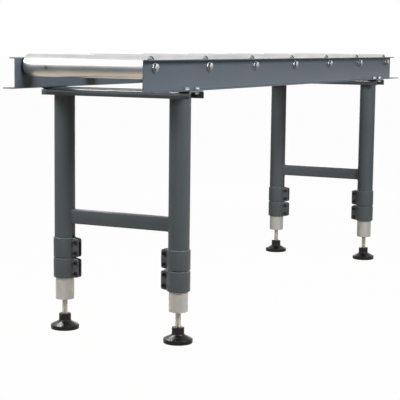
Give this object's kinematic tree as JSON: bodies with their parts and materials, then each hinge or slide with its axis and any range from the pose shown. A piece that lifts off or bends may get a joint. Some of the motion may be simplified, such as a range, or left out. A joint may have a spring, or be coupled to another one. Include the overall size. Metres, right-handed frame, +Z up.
{
  "type": "roller stand",
  "caption": "Straight roller stand: free steel rollers between folded side channels on two H frames with clamped telescopic legs and screw levelling feet.",
  "frame": {"origin": "on the floor under the middle of the stand", "axes": "+X along the run of rollers, +Y across the stand, +Z up"},
  "size_m": [2, 0.457, 0.7741],
  "materials": {
    "grey_paint": "satin dark blue-grey powder coat",
    "zinc_plate": "bright zinc plate",
    "roller_steel": "bright drawn steel tube",
    "bearing_steel": "ground bearing steel with a dark seal",
    "inner_tube_steel": "matt pale grey steel tube",
    "black_plastic": "black moulded plastic"
  },
  "bodies": {
    "frame": {"side_channel_far": "grey_paint", "side_channel_near": "grey_paint", "roller_axle_1": "zinc_plate", "roller_axle_2": "zinc_plate", "roller_axle_3": "zinc_plate", "roller_axle_4": "zinc_plate", "roller_axle_5": "zinc_plate", "roller_axle_6": "zinc_plate", "roller_axle_7": "zinc_plate", "cross_bracket_left": "grey_paint", "stretcher_left": "grey_paint", "cross_bracket_right": "grey_paint", "stretcher_right": "grey_paint", "leg_tube_left_far": "grey_paint", "clamp_upper_left_far": "grey_paint", "clamp_lower_left_far": "grey_paint", "leg_tube_left_near": "grey_paint", "clamp_upper_left_near": "grey_paint", "clamp_lower_left_near": "grey_paint", "leg_tube_right_far": "grey_paint", "clamp_upper_right_far": "grey_paint", "clamp_lower_right_far": "grey_paint", "leg_tube_right_near": "grey_paint", "clamp_upper_right_near": "grey_paint", "clamp_lower_right_near": "grey_paint"},
    "roller_1": {"roller_tube_1": "roller_steel", "roller_bearing_far_1": "bearing_steel", "roller_bearing_near_1": "bearing_steel"},
    "roller_2": {"roller_tube_2": "roller_steel", "roller_bearing_far_2": "bearing_steel", "roller_bearing_near_2": "bearing_steel"},
    "roller_3": {"roller_tube_3": "roller_steel", "roller_bearing_far_3": "bearing_steel", "roller_bearing_near_3": "bearing_steel"},
    "roller_4": {"roller_tube_4": "roller_steel", "roller_bearing_far_4": "bearing_steel", "roller_bearing_near_4": "bearing_steel"},
    "roller_5": {"roller_tube_5": "roller_steel", "roller_bearing_far_5": "bearing_steel", "roller_bearing_near_5": "bearing_steel"},
    "roller_6": {"roller_tube_6": "roller_steel", "roller_bearing_far_6": "bearing_steel", "roller_bearing_near_6": "bearing_steel"},
    "roller_7": {"roller_tube_7": "roller_steel", "roller_bearing_far_7": "bearing_steel", "roller_bearing_near_7": "bearing_steel"},
    "inner_leg_left_far": {"inner_tube_left_far": "inner_tube_steel"},
    "foot_left_far": {"foot_left_far": "black_plastic"},
    "spindle_left_far": {"spindle_left_far": "zinc_plate"},
    "inner_leg_left_near": {"inner_tube_left_near": "inner_tube_steel"},
    "foot_left_near": {"foot_left_near": "black_plastic"},
    "spindle_left_near": {"spindle_left_near": "zinc_plate"},
    "inner_leg_right_far": {"inner_tube_right_far": "inner_tube_steel"},
    "foot_right_far": {"foot_right_far": "black_plastic"},
    "spindle_right_far": {"spindle_right_far": "zinc_plate"},
    "inner_leg_right_near": {"inner_tube_right_near": "inner_tube_steel"},
    "foot_right_near": {"foot_right_near": "black_plastic"},
    "spindle_right_near": {"spindle_right_near": "zinc_plate"}
  },
  "joints": [
    {"name": "roller_1_spin", "type": "hinge", "parent": "frame", "child": "roller_1", "pos_m": [-0.945, 0, 0.7441], "axis": [0, 1, 0], "continuous": true},
    {"name": "roller_2_spin", "type": "hinge", "parent": "frame", "child": "roller_2", "pos_m": [-0.63, 0, 0.7441], "axis": [0, 1, 0], "continuous": true},
    {"name": "roller_3_spin", "type": "hinge", "parent": "frame", "child": "roller_3", "pos_m": [-0.315, 0, 0.7441], "axis": [0, 1, 0], "continuous": true},
    {"name": "roller_4_spin", "type": "hinge", "parent": "frame", "child": "roller_4", "pos_m": [0, 0, 0.7441], "axis": [0, 1, 0], "continuous": true},
    {"name": "roller_5_spin", "type": "hinge", "parent": "frame", "child": "roller_5", "pos_m": [0.315, 0, 0.7441], "axis": [0, 1, 0], "continuous": true},
    {"name": "roller_6_spin", "type": "hinge", "parent": "frame", "child": "roller_6", "pos_m": [0.63, 0, 0.7441], "axis": [0, 1, 0], "continuous": true},
    {"name": "roller_7_spin", "type": "hinge", "parent": "frame", "child": "roller_7", "pos_m": [0.945, 0, 0.7441], "axis": [0, 1, 0], "continuous": true},
    {"name": "leg_left_far_extend", "type": "slide", "parent": "frame", "child": "inner_leg_left_far", "axis": [0, 0, -1], "range_m": [-0.05, 0.25]},
    {"name": "foot_left_far_level", "type": "slide", "parent": "inner_leg_left_far", "child": "foot_left_far", "axis": [0, 0, 1], "range_m": [-0.03, 0.03]},
    {"name": "spindle_left_far_turn", "type": "hinge", "parent": "foot_left_far", "child": "spindle_left_far", "pos_m": [-0.774, 0.18, 0.0213], "axis": [0, 0, 1], "range_deg": [-5400, 5400]},
    {"name": "leg_left_near_extend", "type": "slide", "parent": "frame", "child": "inner_leg_left_near", "axis": [0, 0, -1], "range_m": [-0.05, 0.25]},
    {"name": "foot_left_near_level", "type": "slide", "parent": "inner_leg_left_near", "child": "foot_left_near", "axis": [0, 0, 1], "range_m": [-0.03, 0.03]},
    {"name": "spindle_left_near_turn", "type": "hinge", "parent": "foot_left_near", "child": "spindle_left_near", "pos_m": [-0.774, -0.18, 0.0213], "axis": [0, 0, 1], "range_deg": [-5400, 5400]},
    {"name": "leg_right_far_extend", "type": "slide", "parent": "frame", "child": "inner_leg_right_far", "axis": [0, 0, -1], "range_m": [-0.05, 0.25]},
    {"name": "foot_right_far_level", "type": "slide", "parent": "inner_leg_right_far", "child": "foot_right_far", "axis": [0, 0, 1], "range_m": [-0.03, 0.03]},
    {"name": "spindle_right_far_turn", "type": "hinge", "parent": "foot_right_far", "child": "spindle_right_far", "pos_m": [0.774, 0.18, 0.0213], "axis": [0, 0, 1], "range_deg": [-5400, 5400]},
    {"name": "leg_right_near_extend", "type": "slide", "parent": "frame", "child": "inner_leg_right_near", "axis": [0, 0, -1], "range_m": [-0.05, 0.25]},
    {"name": "foot_right_near_level", "type": "slide", "parent": "inner_leg_right_near", "child": "foot_right_near", "axis": [0, 0, 1], "range_m": [-0.03, 0.03]},
    {"name": "spindle_right_near_turn", "type": "hinge", "parent": "foot_right_near", "child": "spindle_right_near", "pos_m": [0.774, -0.18, 0.0213], "axis": [0, 0, 1], "range_deg": [-5400, 5400]}
  ],
  "couplings": [
    {"joint": "spindle_left_far_turn", "follows": "foot_left_far_level", "rad_per_m": 3141.6},
    {"joint": "spindle_left_near_turn", "follows": "foot_left_near_level", "rad_per_m": 3141.6},
    {"joint": "spindle_right_far_turn", "follows": "foot_right_far_level", "rad_per_m": 3141.6},
    {"joint": "spindle_right_near_turn", "follows": "foot_right_near_level", "rad_per_m": 3141.6}
  ]
}
